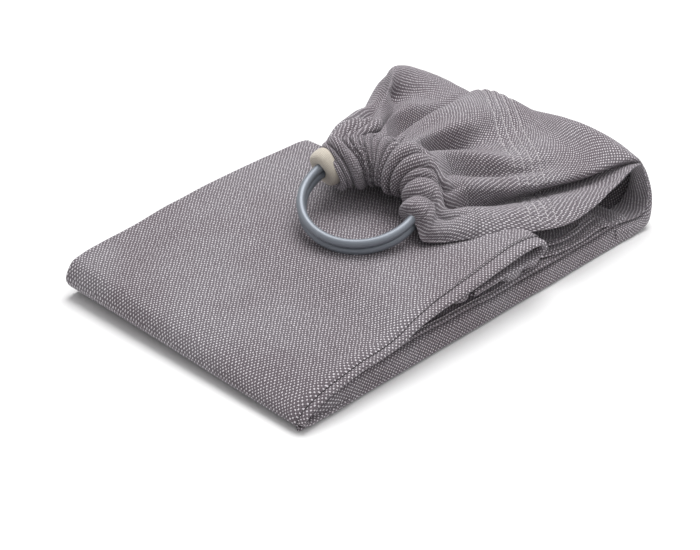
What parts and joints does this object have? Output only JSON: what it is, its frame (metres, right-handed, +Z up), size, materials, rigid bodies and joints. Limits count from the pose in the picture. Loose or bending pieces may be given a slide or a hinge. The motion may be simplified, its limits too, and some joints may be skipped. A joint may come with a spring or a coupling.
{
  "type": "ring sling baby carrier",
  "caption": "Woven ring sling for carrying a baby, folded flat with its pleated shoulder laid on top and its metal rings in the gathered end.",
  "frame": {"origin": "on the floor under the middle of the folded packet's box", "axes": "+X along the packet towards the end where the shoulder folds over, +Y across its width towards the back, +Z up"},
  "size_m": [0.366, 0.228, 0.0846],
  "materials": {
    "woven_cloth": "matt woven cotton with small pale flecks",
    "tape": "matt cream cotton tape",
    "thread": "matt polyester thread",
    "ring_metal": "satin anodised, blue grey"
  },
  "bodies": {
    "folded_wrap": {"bottom_layer": "woven_cloth", "left_end_fold": "woven_cloth", "top_layer": "woven_cloth", "top_fold_right": "woven_cloth", "upper_inner_layer": "woven_cloth", "inner_fold_left_high": "woven_cloth", "inner_layer_high": "woven_cloth", "inner_fold_right": "woven_cloth", "inner_layer_middle": "woven_cloth", "inner_fold_left_low": "woven_cloth", "inner_layer_low": "woven_cloth", "loose_pleats": "woven_cloth", "right_end_fold": "woven_cloth"},
    "shoulder": {"shoulder_fan": "woven_cloth", "gathered_neck": "woven_cloth", "stitch_row_1": "thread", "stitch_row_2": "thread", "stitch_row_3": "thread", "stitch_row_4": "thread"},
    "ring_end": {"ring_sleeve": "woven_cloth", "edge_tape": "tape"},
    "upper_ring": {"ring_upper": "ring_metal"},
    "lower_ring": {"ring_lower": "ring_metal"}
  },
  "joints": [
    {"name": "shoulder_fold", "type": "hinge", "parent": "folded_wrap", "child": "shoulder", "pos_m": [0.158, 0, 0.025], "axis": [0, 1, 0], "range_deg": [0, 150], "deforming": ["right_end_fold"]},
    {"name": "ring_end_swing", "type": "hinge", "parent": "shoulder", "child": "ring_end", "pos_m": [0.045, 0, 0.078], "axis": [0, 1, 0], "range_deg": [0, 60], "deforming": ["gathered_neck"]},
    {"name": "upper_ring_open", "type": "hinge", "parent": "ring_end", "child": "upper_ring", "pos_m": [0.02224, -0.0137, 0.07327], "axis": [0.0771, 0.9772, 0.1978], "range_deg": [0, 25], "deforming": ["ring_sleeve", "edge_tape"]},
    {"name": "lower_ring_turn", "type": "hinge", "parent": "ring_end", "child": "lower_ring", "pos_m": [-0.01756, -0.0066, 0.05375], "axis": [-0.3187, -0.1638, 0.9336], "continuous": true}
  ]
}
